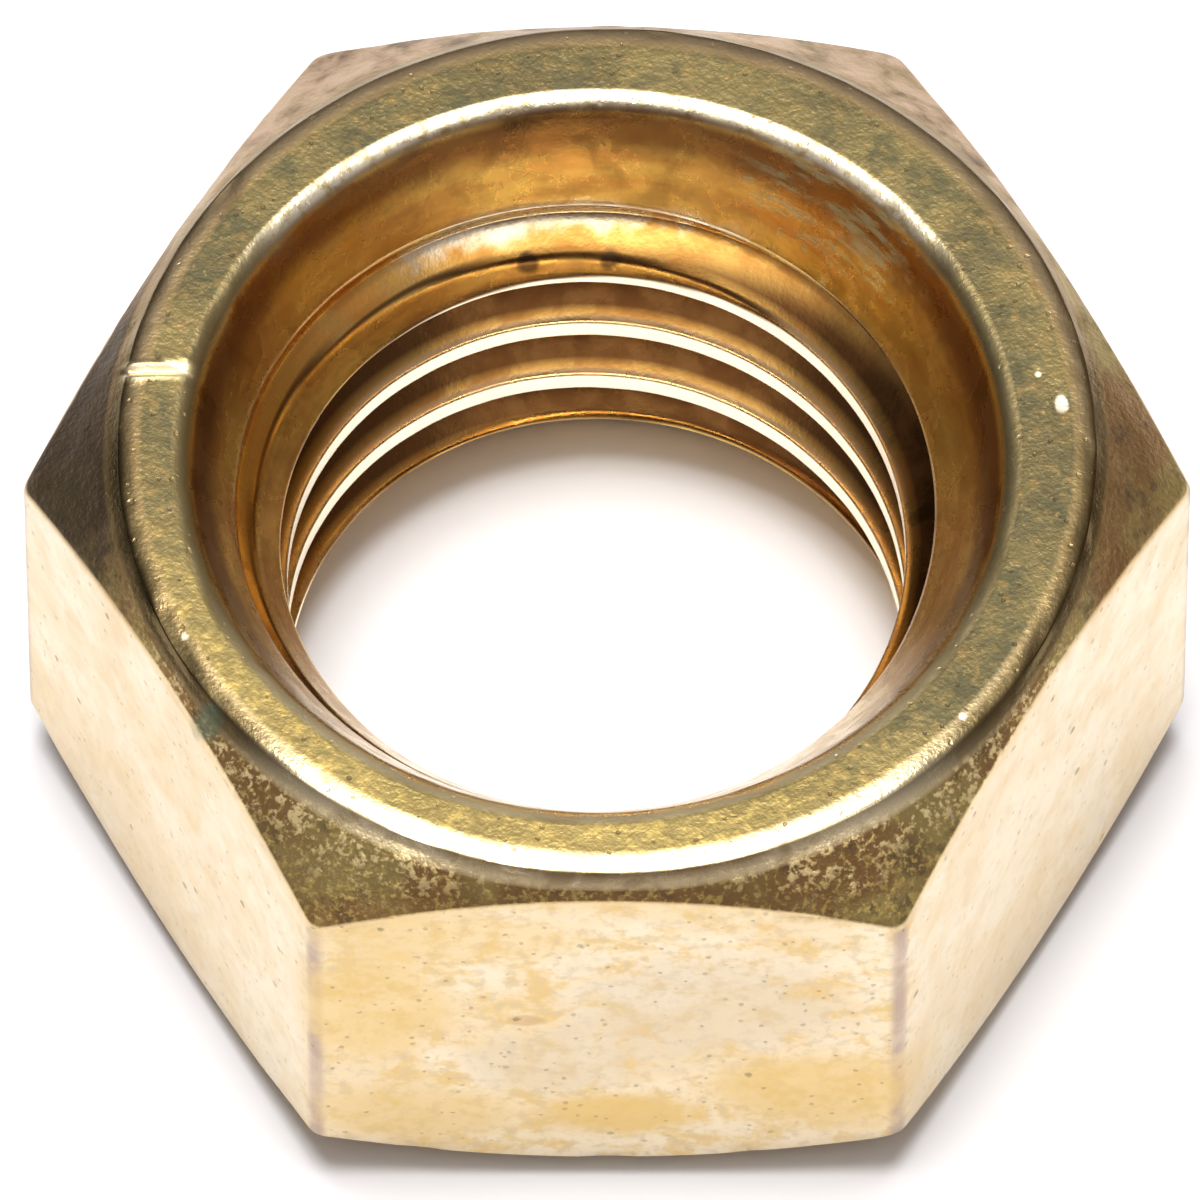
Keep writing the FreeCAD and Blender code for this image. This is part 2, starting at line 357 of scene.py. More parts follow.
def share(places, *names):
    """How much each vertex belongs to the named stretches of the surface, 0 to 1."""
    total = np.zeros(len(places))
    for name in names:
        total += np.clip(1 - np.abs(places - STRETCHES[name]), 0, 1)
    return np.clip(total, 0, 1)


# ---------------------------------------------------------------- wear

# Small pits in the upper face: x, y, radius, depth.
PITS = [
    (7.6, 0.8, 0.15, 0.035),
    (7.2, 1.39, 0.12, 0.030),
    (6.9, 1.6, 0.10, 0.025),
    (-7.02, -3.65, 0.13, 0.030),
    (5.9, -5.19, 0.12, 0.025),
]

# Unevenness: the size and seed of each noise, then how much of each a kind of surface has.
WAVES = {"slow": (2.6, 11), "middle": (1.1, 12), "quick": (0.45, 13), "fine": (0.24, 14)}
UNEVENNESS = [
    (("flat",), {"slow": 0.010, "middle": 0.004}),
    (("face",), {"middle": 0.004, "quick": 0.003}),
    (("chamfer", "lower_chamfer"), {"middle": 0.012, "quick": 0.012, "fine": 0.006}),
    (("rim",), {"middle": 0.008, "quick": 0.006}),
    (("thread",), {"quick": 0.003, "fine": 0.002}),
]

# Knocks on the rounded edges: size and seed of the noise, where it starts and is full, depth.
KNOCKS = [
    (0.8, 15, 0.25, 0.9, 0.035),
    (0.3, 16, 0.45, 0.95, 0.022),
]
EDGE_LOSS = 0.006

# How far round from an upright corner its own colour is full, and how far it is gone.
CORNER_FULL = 0.05
CORNER_GONE = 0.22


def corner_share(points):
    """1 at the six upright corners of the hexagon, fading to 0 a little way along the flats."""
    angles = np.arctan2(points[:, 1], points[:, 0])
    return smooth_step(angle_from_corner(angles) * CORNER_RADIUS, CORNER_GONE, CORNER_FULL)


def gouge_place(points):
    """Distance from the gouge's line, and 1 along its length fading to 0 past its ends."""
    across = np.abs(points[:, 1] - GOUGE_Y)
    x = points[:, 0]
    along = smooth_step(x, GOUGE_OUTER_X - GOUGE_FADE_PAST, GOUGE_OUTER_X + GOUGE_FADE_BEFORE)
    along *= 1 - smooth_step(x, GOUGE_INNER_X - GOUGE_FADE_BEFORE, GOUGE_INNER_X + GOUGE_FADE_PAST)
    return across, along


def gouge_depth(across):
    """Depth across the gouge: a groove with a low ridge of pushed-up metal on either side."""
    groove = GOUGE_DEPTH * np.exp(-(across / GOUGE_HALF_WIDTH)**2)
    ridge = RIDGE_HEIGHT * np.exp(-((across - RIDGE_OFFSET) / RIDGE_HALF_WIDTH)**2)
    return groove - ridge


def wear_depth(points, edges, places):
    """How far each vertex moves out along its normal: unevenness, knocks, pits and the gouge."""
    waves = {name: value_noise(points, size, seed) for name, (size, seed) in WAVES.items()}
    depth = np.zeros(len(points))
    for names, amounts in UNEVENNESS:
        relief = sum(amount * waves[name] for name, amount in amounts.items())
        depth += share(places, *names) * relief
    for size, seed, start, full, deep in KNOCKS:
        depth -= edges * deep * smooth_step(value_noise(points, size, seed), start, full)
    depth -= edges * EDGE_LOSS * (1 + waves["quick"])
    face = share(places, "face")
    for x, y, radius, deep in PITS:
        gap = np.hypot(points[:, 0] - x, points[:, 1] - y) / radius
        depth -= face * deep * np.exp(-gap**2 * 2)
    across, along = gouge_place(points)
    depth -= (face + share(places, "rim")) * along * gouge_depth(across)
    return depth


# ---------------------------------------------------------------- mesh

def add_attribute(mesh, name, values):
    """Store one number per vertex for the material to read."""
    attribute = mesh.attributes.new(name, "FLOAT", "POINT")
    attribute.data.foreach_set("value", np.asarray(values, np.float32))


def add_zones(mesh, points, edges, places, scraped, cones, crests, grooves):
    """Tell the material which kind of surface each vertex belongs to."""
    # The lip is the rounding between the upper cone and the face. The rim takes in most of
    # the rounding on either side of it.
    lip = smooth_step(places, 0.05, 0.40) * smooth_step(places, 1.0, 0.80)
    rim = smooth_step(places, 1.0, 1.4) * smooth_step(places, 3.0, 2.6)
    flat = share(places, "flat")
    zones = {
        "edge": edges,
        "lip": lip,
        "face": share(places, "face", "lower_face"),
        "rim": rim,
        "chamfer": share(places, "chamfer", "lower_chamfer"),
        "flat": flat,
        "corner": corner_share(points) * flat,
        "scraped": scraped,
        "cone": np.maximum(share(places, "upper_cone", "lower_cone"), cones),
        "crest": crests,
        "groove": grooves,
    }
    for name, values in zones.items():
        add_attribute(mesh, name, values)


def make_nut():
    """The nut's visible skin as one closed mesh."""
    points, quads, edges, places, (cones, crests, grooves) = build_grid()
    across, along = gouge_place(points)
    scraped = share(places, "face", "rim") * along * np.exp(-(across / RIDGE_OFFSET)**4)
    mesh = bpy.data.meshes.new("hex_nut_skin")
    mesh.from_pydata((points * MM).tolist(), [], tidy_faces(quads))
    mesh.validate()
    normals = np.empty(len(mesh.vertices) * 3, np.float32)
    mesh.vertex_normals.foreach_get("vector", normals)
    normals = normals.reshape(-1, 3)
    points = points + normals * wear_depth(points, edges, places)[:, None]
    mesh.vertices.foreach_set("co", (points * MM).astype(np.float32).ravel())
    mesh.shade_smooth()
    add_zones(mesh, points, edges, places, scraped, cones, crests, grooves)
    mesh.update()
    nut = bpy.data.objects.new("hex_nut_skin", mesh)
    bpy.context.collection.objects.link(nut)
    return nut


# ---------------------------------------------------------------- shader nodes

class Graph:
    """Short calls that add shader nodes to one node tree."""

    def __init__(self, tree):
        self.tree = tree

    def put(self, socket, value):
        """Set a socket to a number or a tuple, or link an output to it."""
        if isinstance(value, bpy.types.NodeSocket):
            self.tree.links.new(value, socket)
        elif value is not None:
            socket.default_value = value

    def math(self, operation, a, b=None):
        node = self.tree.nodes.new("ShaderNodeMath")
        node.operation = operation
        self.put(node.inputs[0], a)
        self.put(node.inputs[1], b)
        return node.outputs[0]

    def add(self, a, b):
        return self.math("ADD", a, b)

    def times(self, a, b):
        return self.math("MULTIPLY", a, b)

    def total(self, values, weights, start=0.0):
        """The sum of the named values, each times its weight."""
        result = start
        for name, weight in weights.items():
            result = self.add(result, self.times(values[name], weight))
        return result

    def vector(self, operation, a, b):
        node = self.tree.nodes.new("ShaderNodeVectorMath")
        node.operation = operation
        self.put(node.inputs[0], a)
        self.put(node.inputs[1], b)
        return node.outputs["Value" if operation in ("DISTANCE", "DOT_PRODUCT") else "Vector"]

    def scale(self, vector, factors):
        return self.vector("MULTIPLY", vector, factors)

    def along(self, place, direction):
        """How far a place is from the origin in a direction."""
        return self.vector("DOT_PRODUCT", place, direction)

    def span(self, value, low, high, start=0.0, end=1.0):
        """A smooth rise from start at low to end at high. High may be the smaller of the two."""
        node = self.tree.nodes.new("ShaderNodeMapRange")
        node.interpolation_type = "SMOOTHSTEP"
        self.put(node.inputs["Value"], value)
        self.put(node.inputs["From Min"], low)
        self.put(node.inputs["From Max"], high)
        self.put(node.inputs["To Min"], start)
        self.put(node.inputs["To Max"], end)
        return node.outputs["Result"]

    def mix(self, factor, a, b):
        """Colour a where the factor is 0 and colour b where it is 1."""
        node = self.tree.nodes.new("ShaderNodeMix")
        node.data_type = "RGBA"
        self.put(node.inputs[0], factor)
        self.put(node.inputs[6], a)
        self.put(node.inputs[7], b)
        return node.outputs[2]

    def lerp(self, factor, a, b):
        """Number a where the factor is 0 and number b where it is 1."""
        node = self.tree.nodes.new("ShaderNodeMix")
        node.data_type = "FLOAT"
        self.put(node.inputs[0], factor)
        self.put(node.inputs[2], a)
        self.put(node.inputs[3], b)
        return node.outputs[0]

    def noise(self, place, scale, detail, roughness, distortion=0.0):
        """Cloudy noise with features about 1 / scale wide, mostly from 0.3 to 0.7."""
        node = self.tree.nodes.new("ShaderNodeTexNoise")
        self.put(node.inputs["Vector"], place)
        self.put(node.inputs["Scale"], scale)
        self.put(node.inputs["Detail"], detail)
        self.put(node.inputs["Roughness"], roughness)
        self.put(node.inputs["Distortion"], distortion)
        return node.outputs[0]

    def cells(self, place, scale):
        """Distance to the nearest of the scattered points, 0 at each point."""
        node = self.tree.nodes.new("ShaderNodeTexVoronoi")
        self.put(node.inputs["Vector"], place)
        self.put(node.inputs["Scale"], scale)
        return node.outputs["Distance"]

    def attribute(self, name):
        node = self.tree.nodes.new("ShaderNodeAttribute")
        node.attribute_name = name
        return node.outputs["Fac"]

    def spot(self, place, ragged, centre, radius, squash=(1, 1, 1)):
        """1 inside a spot and 0 outside it, with an edge made ragged by a noise."""
        raggedness, outer, inner = 1.6 * radius, 1.15 * radius, 0.55 * radius
        offset = self.scale(self.vector("SUBTRACT", place, centre), squash)
        away = self.vector("DISTANCE", offset, (0, 0, 0))
        away = self.add(away, self.times(self.add(ragged, -0.5), raggedness))
        return self.span(away, outer, inner)


# ---------------------------------------------------------------- colours of the brass

BORE_GOLD = (0.92, 0.54, 0.14, 1)
BORE_BROWN = (0.66, 0.31, 0.07, 1)
CREST_PALE = (0.98, 0.88, 0.66, 1)
CONE_GOLD = (0.92, 0.65, 0.20, 1)
CONE_BROWN = (0.70, 0.38, 0.12, 1)
CONE_SHADE = (0.24, 0.11, 0.045, 1)
GROOVE_SHADE = (0.11, 0.045, 0.016, 1)
RIM_SHADE = (0.16, 0.115, 0.05, 1)
RIM_BROWN = (0.30, 0.22, 0.12, 1)
FACE_OLIVE = (0.130, 0.101, 0.044, 1)
FACE_GREEN = (0.085, 0.077, 0.039, 1)
FACE_YELLOW = (0.205, 0.156, 0.062, 1)
FACE_GOLD = (0.50, 0.36, 0.11, 1)
CHAMFER_BROWN = (0.23, 0.13, 0.05, 1)
CHAMFER_OLIVE = (0.31, 0.23, 0.085, 1)
CHAMFER_GLINT = (0.88, 0.69, 0.34, 1)
CHAMFER_PINK_REFLECTION = (0.52, 0.36, 0.22, 1)
CHAMFER_DARK = (0.06, 0.042, 0.028, 1)
FLAT_PALE = (0.71, 0.57, 0.36, 1)
FLAT_CREAM = (0.75, 0.64, 0.46, 1)
FLAT_ORANGE = (0.66, 0.46, 0.16, 1)
FLAT_GREY = (0.56, 0.47, 0.34, 1)
FLAT_RUST = (0.50, 0.30, 0.11, 1)
CORNER_MAUVE = (0.44, 0.33, 0.25, 1)
CLEAN_BRASS = (0.97, 0.82, 0.50, 1)
VERDIGRIS = (0.17, 0.20, 0.12, 1)
DIRT = (0.13, 0.075, 0.04, 1)
SPECK = (0.33, 0.26, 0.18, 1)

# Cloudy noises: scale, detail, roughness, distortion. Two more are squeezed flat, so that
# they run round the nut.
CLOUDS = {
    "slow": (0.45, 3, 0.55, 0.4),
    "middle": (1.3, 4, 0.6, 0.3),
    "quick": (4.0, 3, 0.6, 0.0),
    "fine": (9.0, 2, 0.6, 0.0),
    "grain": (14.0, 2, 0.6, 0.0),
}
SQUEEZED_CLOUDS = {
    "bands": ((0.35, 0.35, 2.2), 1.3, 3, 0.6),
    "streaks": ((0.8, 0.8, 5.0), 1.6, 3, 0.6),
}

# Layers over the first colour of each kind of surface: colour, the noise that places it, the
# noise's values where it starts and is full, then a region of the nut and how strong the layer
# is outside and inside it.
BORE_LAYERS = [
    (BORE_BROWN, "middle", 0.38, 0.68, "all", 1.0, 1.0),
]
CONE_LAYERS = [
    (CONE_BROWN, "bands", 0.30, 0.70, "all", 1.0, 1.0),
    (CHAMFER_BROWN, "middle", 0.50, 0.72, "all", 0.35, 0.35),
]
FACE_LAYERS = [
    (FACE_YELLOW, "slow", 0.34, 0.64, "all", 1.0, 1.0),
    (FACE_GREEN, "middle", 0.42, 0.66, "all", 0.85, 0.85),
    (CHAMFER_BROWN, "quick", 0.54, 0.72, "all", 0.45, 0.45),
    (FACE_GOLD, "quick", 0.44, 0.72, "gold_front_left", 0.12, 0.70),
]
LIP_LAYERS = [
    (FACE_GOLD, "quick", 0.48, 0.66, "all", 0.8, 0.8),
]
CHAMFER_LAYERS = [
    (CHAMFER_OLIVE, "slow", 0.40, 0.60, "all", 1.0, 1.0),
    (CHAMFER_DARK, "middle", 0.52, 0.70, "all", 0.6, 0.6),
    (CHAMFER_DARK, "quick", 0.56, 0.70, "all", 0.45, 0.45),
    # The next two layers are painted glints on the front of the chamfers.
    (FACE_GOLD, "fine", 0.48, 0.66, "front", 0.15, 0.75),
    (CHAMFER_GLINT, "sparkle", 0.49, 0.60, "front_glints", 0.0, 0.9),
    # Painted reflection: pink on the chamfers behind.
    (CHAMFER_PINK_REFLECTION, "middle", 0.75, 0.35, "back", 0.0, 1.0),
]
RIM_LAYERS = [
    (CHAMFER_BROWN, "middle", 0.50, 0.68, "all", 0.6, 0.6),
]
FLAT_LAYERS = [
    (FLAT_CREAM, "slow", 0.40, 0.60, "all", 1.0, 1.0),
    (FLAT_ORANGE, "stained", 0.45, 0.62, "front_flat", 0.15, 0.8),
    (FLAT_GREY, "quick", 0.48, 0.66, "front_flat", 0.25, 0.6),
]

# Spots: centre, radius, squash, colour, strength.
SPOTS = [
    # Stains on the front flat.
    ((-4.0, -8.5, 5.9), 1.5, (1, 1, 0.8), FLAT_ORANGE, 0.65),
    ((-2.6, -8.5, 8.1), 1.2, (0.5, 1, 1.4), FLAT_ORANGE, 0.45),
    ((0.2, -8.5, 2.2), 0.9, (0.6, 1, 1.2), FLAT_ORANGE, 0.9),
    ((3.6, -8.5, 3.0), 1.5, (0.7, 1, 1.1), FLAT_ORANGE, 0.7),
    ((-3.2, -8.5, 2.2), 1.2, (0.6, 1, 1.2), FLAT_ORANGE, 0.5),
    ((-0.9, -8.5, 3.9), 1.3, (0.8, 1, 1.1), FLAT_GREY, 0.45),
    ((1.6, -8.5, 5.8), 1.8, (0.7, 1, 0.9), FLAT_GREY, 0.50),
    ((-1.35, -8.5, 5.35), 0.30, (0.7, 1, 1.5), FLAT_RUST, 0.6),
    # Verdigris at the left of the rim, and a painted highlight: the pale band at the back of the
    # first groove.
    ((-6.6, -5.05, 9.4), 0.35, (1, 1, 0.6), VERDIGRIS, 0.8),
    ((-0.6, 5.85, 7.80), 1.5, (0.34, 1, 3.7), CREST_PALE, 0.95),
    # Bright metal in the pits of the upper face.
    ((7.6, 0.8, 9.8), 0.12, (1, 0.7, 1), CREST_PALE, 0.8),
    ((7.2, 1.39, 9.8), 0.06, (1, 1, 1), CREST_PALE, 0.8),
    ((-7.02, -3.65, 9.8), 0.09, (1, 1, 1), CREST_PALE, 0.7),
    ((5.9, -5.19, 9.8), 0.08, (1, 1, 1), CREST_PALE, 0.7),
    # Dirt in the bore.
    ((-1.33, 5.1, 7.18), 0.19, (1, 0.7, 1), DIRT, 0.9),
    ((0.05, 5.2, 7.14), 0.17, (0.8, 0.7, 1), DIRT, 0.9),
]

# The painted shade (a dark reflection) at the left of the chamfer and the green film at the
# right of the upper countersink: centre, radius, squash.
LEFT_SHADE = ((-8.9, 0.6, 8.6), 2.3, (1, 0.6, 1))
GREEN_FILM = ((4.2, 5.4, 9.1), 1.9, (0.9, 0.9, 1.6))

# Pepper, small and large: scale of the scattered points, the noise that makes the specks
# ragged and how much, how far from a point a speck starts and is full, and its strength.
PEPPER = [
    (3.4, "fine", 0.35, 0.34, 0.22, 0.6),
    (1.1, "quick", 0.3, 0.235, 0.17, 1.0),
]

# How strongly single colours are laid over their surfaces. The outline's figure is large
# because what it multiplies is never more than a quarter.
GROOVE_SHADE_STRENGTH = 0.95
OUTLINE_SHADE_STRENGTH = 3.4
FRONT_CONE_REFLECTION_STRENGTH = 0.5
GOLD_FRONT_LEFT_STRENGTH = 0.35
FLECK_STRENGTH = 0.30
LEFT_SHADE_STRENGTH = 0.85
PATINA_STRENGTH = 0.65


def make_clouds(g, place):
    """Every noise that the brass uses, by name."""
    clouds = {name: g.noise(place, *values) for name, values in CLOUDS.items()}
    for name, (squeeze, *values) in SQUEEZED_CLOUDS.items():
        clouds[name] = g.noise(g.scale(place, squeeze), *values)
    clouds["sparkle"] = g.total(clouds, {"quick": 0.55, "fine": 0.45})
    clouds["stained"] = g.total(clouds, {"middle": 0.7, "quick": 0.3})
    return clouds


def make_regions(g, place, middle):
    """Regions of the nut by name, 1 inside each and 0 outside, with soft borders.

    The borders are in millimetres. Y grows towards the back.
    """
    y = g.along(place, (0, 1, 0))
    from_axis = g.vector("DISTANCE", g.scale(place, (1, 1, 0)), (0, 0, 0))
    near_rim = g.span(g.add(from_axis, g.times(middle, 1.2)), 9.9, 9.0)
    height = g.add(g.along(place, (0, 0, 1)), g.times(middle, 0.25))
    front = g.span(y, -2.0, -6.5)
    return {
        "all": 1.0,
        "front": front,
        "back": g.span(y, 3.2, 5.2),
        "gold_front_left": g.span(g.along(place, (-0.35, -1, 0)), 3.0, 7.0),
        "front_flat": g.span(y, -8.0, -8.4),
        "front_glints": g.times(g.times(front, near_rim), g.span(y, -8.45, -7.9)),
        "front_cone": g.span(y, -1.5, -5.0),
        "rim_highlight": g.span(y, -5.2, -7.5),
        "back_rim": g.span(y, -1.0, 3.0),
        "under_lip": g.times(g.span(height, 9.80, 9.62), g.span(height, 8.85, 9.35)),
    }


def make_parts(g, place, clouds):
    """The mesh's attributes by name, and two kinds of dirt: dark pepper and green patina."""
    names = ("edge", "lip", "face", "rim", "chamfer", "flat", "corner", "cone", "scraped", "crest",
             "groove")
    parts = {name: g.attribute(name) for name in names}
    pepper = 0.0
    for scale, cloud, raggedness, start, full, strength in PEPPER:
        away = g.add(g.cells(place, scale), g.times(clouds[cloud], raggedness))
        pepper = g.math("MAXIMUM", pepper, g.times(g.span(away, start, full), strength))
    parts["pepper"] = g.times(pepper, g.add(parts["flat"], parts["face"]))
    film = g.times(g.spot(place, clouds["quick"], *GREEN_FILM), parts["cone"])
    parts["patina"] = g.times(film, g.span(clouds["streaks"], 0.44, 0.66))
    return parts


def layered(g, colour, layers, clouds, regions):
    """A colour with a table of layers over it."""
    for layer, cloud, start, full, region, outside, inside in layers:
        strength = g.lerp(regions[region], outside, inside)
        weight = g.times(g.span(clouds[cloud], start, full), strength)
        colour = g.mix(weight, colour, layer)
    return colour


def bore_colour(g, parts, clouds, regions):
    """The thread, with painted shade in its grooves and pale crests, partly a painted highlight, and
    the countersinks, with painted shade under the upper lip and a painted reflection in front.
    """
    bore = layered(g, BORE_GOLD, BORE_LAYERS, clouds, regions)
    # Painted shade in the grooves.
    bore = g.mix(g.times(parts["groove"], GROOVE_SHADE_STRENGTH), bore, GROOVE_SHADE)
    # Pale crests: partly metal polished by the tap, partly a painted highlight of the floor they
    # face.
    bore = g.mix(parts["crest"], bore, CREST_PALE)
    cone = layered(g, CONE_GOLD, CONE_LAYERS, clouds, regions)
    # Painted shade under the upper lip, stronger behind than in front.
    shade = g.times(regions["under_lip"], g.lerp(regions["front"], 0.85, 0.2))
    cone = g.mix(shade, cone, CONE_SHADE)
    # Painted reflection: the front of the countersinks paler, as if lit by the floor.
    cone = g.mix(g.times(regions["front_cone"], FRONT_CONE_REFLECTION_STRENGTH), cone, CREST_PALE)
    colour = g.mix(parts["cone"], bore, cone)
    # Painted shade: a dark line where the thread runs out into a countersink, where neither has all
    # of it.
    outline = g.times(parts["cone"], g.math("SUBTRACT", 1.0, parts["cone"]))
    return g.mix(g.times(outline, OUTLINE_SHADE_STRENGTH), colour, GROOVE_SHADE)


def face_colour(g, clouds, regions):
    """Dull olive, more golden towards the front left, and with gold flecks."""
    face = layered(g, FACE_OLIVE, FACE_LAYERS, clouds, regions)
    face = g.mix(g.times(regions["gold_front_left"], GOLD_FRONT_LEFT_STRENGTH), face, FACE_GOLD)
    flecks = g.span(clouds["fine"], 0.64, 0.74)
    return g.mix(g.times(flecks, FLECK_STRENGTH), face, FACE_GOLD)


def lip_colour(g, clouds, regions):
    """The lip of the upper countersink, pale at the back as a painted highlight."""
    bright = layered(g, CREST_PALE, LIP_LAYERS, clouds, regions)
    return g.mix(regions["back"], FACE_YELLOW, bright)


def chamfer_colour(g, place, clouds, regions):
    """Brown and olive, with painted gold glints in front, a painted pink reflection behind and
    painted shade at the left.
    """
    chamfer = layered(g, CHAMFER_BROWN, CHAMFER_LAYERS, clouds, regions)
    # Painted shade at the left of the chamfer.
    patch = g.spot(place, clouds["middle"], *LEFT_SHADE)
    return g.mix(g.times(patch, LEFT_SHADE_STRENGTH), chamfer, CHAMFER_DARK)


def rim_colour(g, clouds, regions):
    """The upper face's outer edge: clean brass in front as a painted highlight, painted shade at the
    sides and brown behind.
    """
    bright = layered(g, CLEAN_BRASS, RIM_LAYERS, clouds, regions)
    dark = g.mix(regions["back_rim"], RIM_SHADE, RIM_BROWN)
    return g.mix(regions["rim_highlight"], dark, bright)


def flat_colour(g, parts, clouds, regions):
    """Pale brass, stained on the front flat and darker at the corners."""
    flat = layered(g, FLAT_PALE, FLAT_LAYERS, clouds, regions)
    corner = g.times(parts["corner"], g.span(clouds["middle"], 0.20, 0.60, 0.5, 1.0))
    return g.mix(corner, flat, CORNER_MAUVE)


def brass_colour(g, place, parts, clouds, regions):
    """Base colour: a colour for each kind of surface, then spots, scrapes, pepper and patina."""
    colour = bore_colour(g, parts, clouds, regions)
    colour = g.mix(parts["face"], colour, face_colour(g, clouds, regions))
    colour = g.mix(parts["lip"], colour, lip_colour(g, clouds, regions))
    colour = g.mix(parts["chamfer"], colour, chamfer_colour(g, place, clouds, regions))
    # Edges rubbed clean, and brighter at the front, where the extra brightness is a painted
    # highlight.
    rubbed_and_highlit = g.times(parts["edge"], g.lerp(regions["front"], 0.12, 0.6))
    colour = g.mix(rubbed_and_highlit, colour, CLEAN_BRASS)
    colour = g.mix(parts["rim"], colour, rim_colour(g, clouds, regions))
    colour = g.mix(parts["flat"], colour, flat_colour(g, parts, clouds, regions))
    for centre, radius, squash, stain, strength in SPOTS:
        spot = g.spot(place, clouds["middle"], centre, radius, squash)
        colour = g.mix(g.times(spot, strength), colour, stain)
    colour = g.mix(parts["scraped"], colour, CLEAN_BRASS)
    pepper = g.times(parts["pepper"], g.lerp(parts["flat"], 0.75, 0.4))
    colour = g.mix(pepper, colour, g.mix(parts["flat"], DIRT, SPECK))
    return g.mix(g.times(parts["patina"], PATINA_STRENGTH), colour, VERDIGRIS)


# ---------------------------------------------------------------- material

# Roughness: of clean metal, what each part adds, and what the middle noise adds at most.
CLEAN_ROUGHNESS = 0.22
ADDED_ROUGHNESS = {"face": 0.16, "chamfer": 0.12, "flat": 0.10, "pepper": 0.3, "scraped": 0.12,
                   "edge": -0.06}
CLOUDY_ROUGHNESS = 0.12

# How much less metallic tarnish and dirt are than clean metal.
TARNISH = {"face": 0.35, "chamfer": 0.25, "pepper": 0.5, "patina": 0.6}

# Bump in millimetres: what each noise gives on plain metal, and how much more it gives on
# turned metal. The chamfer counts as more than fully turned.
BUMPS = {"grain": (0.0020, 0.0035), "quick": (0.002, 0.008), "fine": (0.002, 0.007)}
TURNED = {"face": 1.0, "chamfer": 1.6}
PEPPER_BUMP = -0.02


def add_bump(g, shader, parts, clouds):
    """Fine relief, stronger where the nut was turned, with the pepper sunk in."""
    turned = g.total(parts, TURNED)
    relief = g.times(parts["pepper"], PEPPER_BUMP)
    for name, (plain, more) in BUMPS.items():
        relief = g.add(relief, g.times(clouds[name], g.add(plain, g.times(turned, more))))
    bump = g.tree.nodes.new("ShaderNodeBump")
    bump.inputs["Strength"].default_value = 1.0
    bump.inputs["Distance"].default_value = MM
    g.put(bump.inputs["Height"], relief)
    g.put(shader.inputs["Normal"], bump.outputs["Normal"])


def make_brass():
    """Aged brass with painted highlights and shade: bright where it rubs, olive and brown where it
    was turned, stained on the flats.
    """
    material = bpy.data.materials.new("aged_brass")
    material.use_nodes = True
    shader = material.node_tree.nodes["Principled BSDF"]
    g = Graph(material.node_tree)
    metres = g.tree.nodes.new("ShaderNodeTexCoord").outputs["Object"]
    place = g.scale(metres, (1 / MM, 1 / MM, 1 / MM))
    clouds = make_clouds(g, place)
    regions = make_regions(g, place, clouds["middle"])
    parts = make_parts(g, place, clouds)
    g.put(shader.inputs["Base Color"], brass_colour(g, place, parts, clouds, regions))

    rough = g.total(parts, ADDED_ROUGHNESS, CLEAN_ROUGHNESS)
    cloudy = g.times(g.span(clouds["middle"], 0.35, 0.70), CLOUDY_ROUGHNESS)
    g.put(shader.inputs["Roughness"], g.add(rough, cloudy))
    tarnish = g.total(parts, TARNISH)
    g.put(shader.inputs["Metallic"], g.math("SUBTRACT", 1.0, tarnish))
    g.put(shader.inputs["Specular IOR Level"], 0.2)
    add_bump(g, shader, parts, clouds)
    return material


# ---------------------------------------------------------------- stage

# The floor and the light are in metres.
FLOOR_HALF = 1.5
FLOOR_COLOUR = (0.86, 0.86, 0.88, 1)
FLOOR_ROUGHNESS = 0.8
LIGHT_PLACE = Vector((-0.02, 0.006, 0.6))
LIGHT_SIZE = 0.30
LIGHT_POWER = 4.6

# The surroundings, and soft patches in them: azimuth and elevation of the centre, inner and
# outer radius in degrees, colour. Azimuth 0 is +X, to the right; 90 is behind the nut.
SURROUNDINGS = (0.27, 0.25, 0.28, 1)
PATCHES = [
    (90, 62, 14, 36, (0.62, 0.61, 0.62, 1)),
    (270, 36, 22, 40, (0.09, 0.05, 0.035, 1)),
    (150, 28, 18, 40, (0.03, 0.025, 0.025, 1)),
    (30, 28, 14, 36, (0.15, 0.10, 0.05, 1)),
    (270, 70, 6, 20, (2.6, 2.5, 2.3, 1)),
    (233, 60, 6, 17, (1.7, 1.6, 1.5, 1)),
    (307, 60, 6, 17, (1.7, 1.6, 1.5, 1)),
    (90, 4, 6, 20, (0.16, 0.10, 0.07, 1)),
]

# The camera stands thirty widths away. In a picture this many pixels wide the nut has this
# width, and its upper face is off the middle by this much.
WIDTH = 2 * HALF_FLATS * MM
CAMERA_ELEVATION = math.radians(60)
CAMERA_DISTANCE = 30 * WIDTH
CAMERA_REACH = 10
SENSOR = 36.0
IMAGE_PIXELS = 1200
NUT_WIDTH_PIXELS = 1019.0
AIM_RIGHT_PIXELS = 7.0
AIM_UP_PIXELS = 154.0


def add_floor():
    """A plain pale floor under the nut."""
    half = FLOOR_HALF
    mesh = bpy.data.meshes.new("floor")
    corners = [(-half, -half, 0), (half, -half, 0), (half, half, 0), (-half, half, 0)]
    mesh.from_pydata(corners, [], [(0, 1, 2, 3)])
    floor = bpy.data.objects.new("floor", mesh)
    bpy.context.collection.objects.link(floor)
    material = bpy.data.materials.new("pale_floor")
    material.use_nodes = True
    shader = material.node_tree.nodes["Principled BSDF"]
    shader.inputs["Base Color"].default_value = FLOOR_COLOUR
    shader.inputs["Roughness"].default_value = FLOOR_ROUGHNESS
    mesh.materials.append(material)


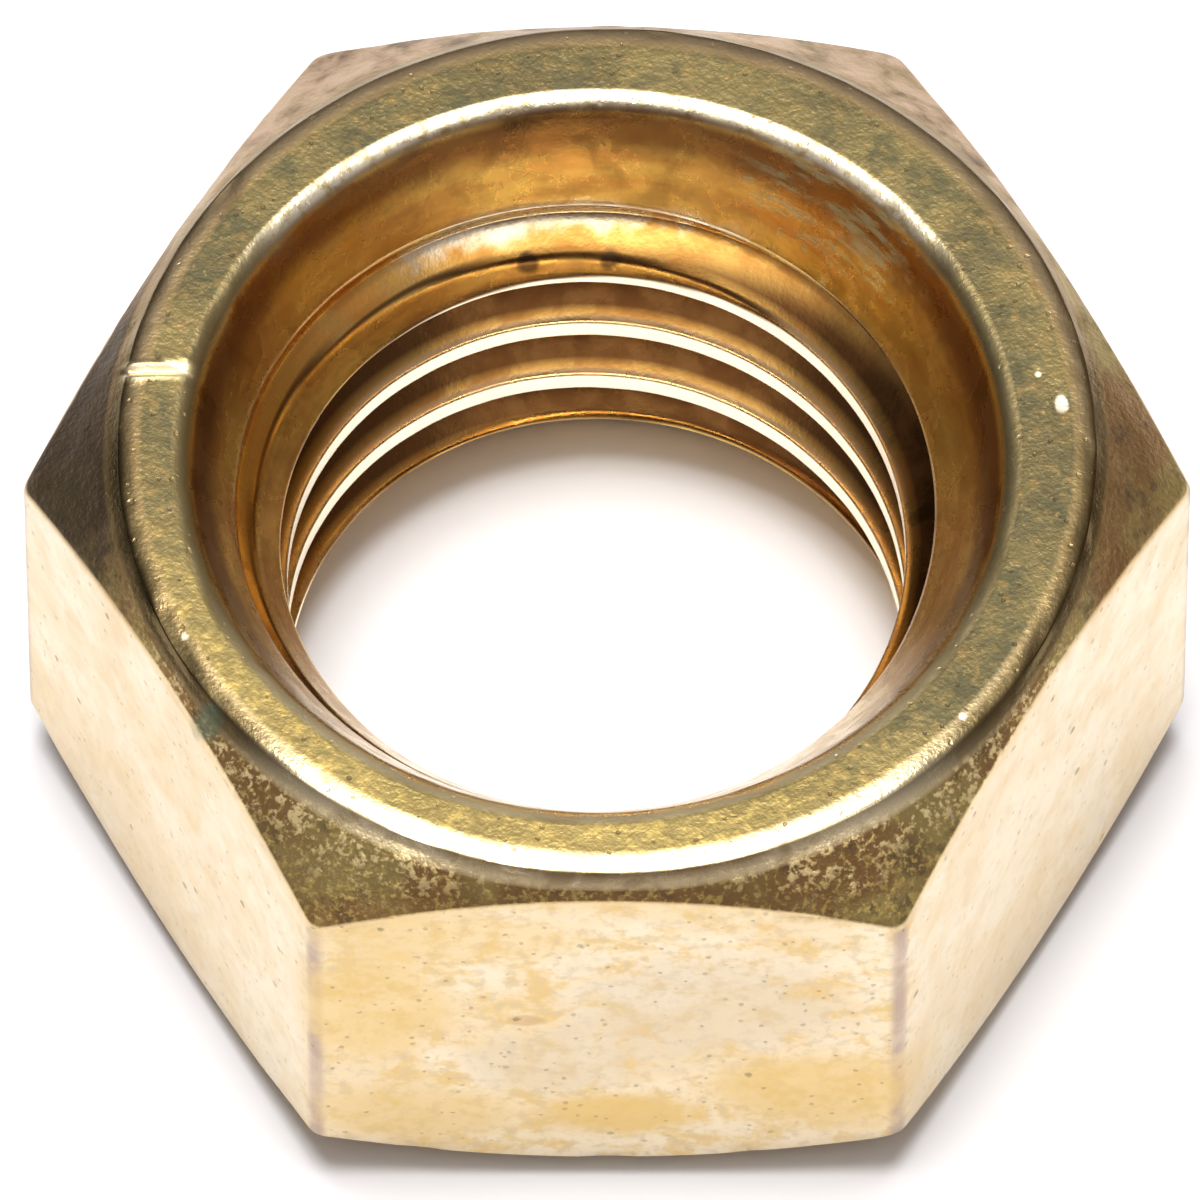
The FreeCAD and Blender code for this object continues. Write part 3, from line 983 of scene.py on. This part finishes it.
def add_light():
    """One round soft light, nearly overhead, facing the origin."""
    data = bpy.data.lights.new("overhead_light", "AREA")
    data.shape = "DISK"
    data.size = LIGHT_SIZE
    data.energy = LIGHT_POWER
    light = bpy.data.objects.new("overhead_light", data)
    light.location = LIGHT_PLACE
    light.rotation_euler = (-LIGHT_PLACE).to_track_quat("-Z", "Y").to_euler()
    bpy.context.collection.objects.link(light)


def add_world():
    """Dim surroundings with soft brighter and darker patches for the metal to reflect."""
    world = bpy.data.worlds.new("studio")
    world.use_nodes = True
    g = Graph(world.node_tree)
    direction = g.tree.nodes.new("ShaderNodeTexCoord").outputs["Generated"]
    colour = SURROUNDINGS
    for azimuth, elevation, inner, outer, patch in PATCHES:
        turn = math.radians(azimuth)
        rise = math.radians(elevation)
        centre = (math.cos(rise) * math.cos(turn), math.cos(rise) * math.sin(turn), math.sin(rise))
        nearness = g.along(direction, centre)
        weight = g.span(nearness, math.cos(math.radians(outer)), math.cos(math.radians(inner)))
        colour = g.mix(weight, colour, patch)
    g.put(g.tree.nodes["Background"].inputs["Color"], colour)
    bpy.context.scene.world = world


def add_camera():
    """A long lens in front of the nut, looking down at it, with its upper face above the middle."""
    data = bpy.data.cameras.new("camera")
    data.sensor_width = SENSOR
    per_metre = NUT_WIDTH_PIXELS / WIDTH
    data.lens = per_metre * CAMERA_DISTANCE / IMAGE_PIXELS * SENSOR
    data.clip_end = CAMERA_REACH
    camera = bpy.data.objects.new("camera", data)
    back = Vector((0, -math.cos(CAMERA_ELEVATION), math.sin(CAMERA_ELEVATION)))
    right = Vector((1, 0, 0))
    up = back.cross(right)
    target = Vector((0, 0, HEIGHT * MM))
    camera.location = (target + back * CAMERA_DISTANCE
                       - right * (AIM_RIGHT_PIXELS / per_metre)
                       - up * (AIM_UP_PIXELS / per_metre))
    camera.rotation_euler = back.to_track_quat("Z", "Y").to_euler()
    bpy.context.collection.objects.link(camera)
    bpy.context.scene.camera = camera


# ---------------------------------------------------------------- scene

add_camera()
add_floor()
add_world()
add_light()
bpy.context.scene.view_settings.view_transform = "Standard"

nut = make_nut()
nut.data.materials.append(make_brass())
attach(nut, "root")
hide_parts("hex_nut")
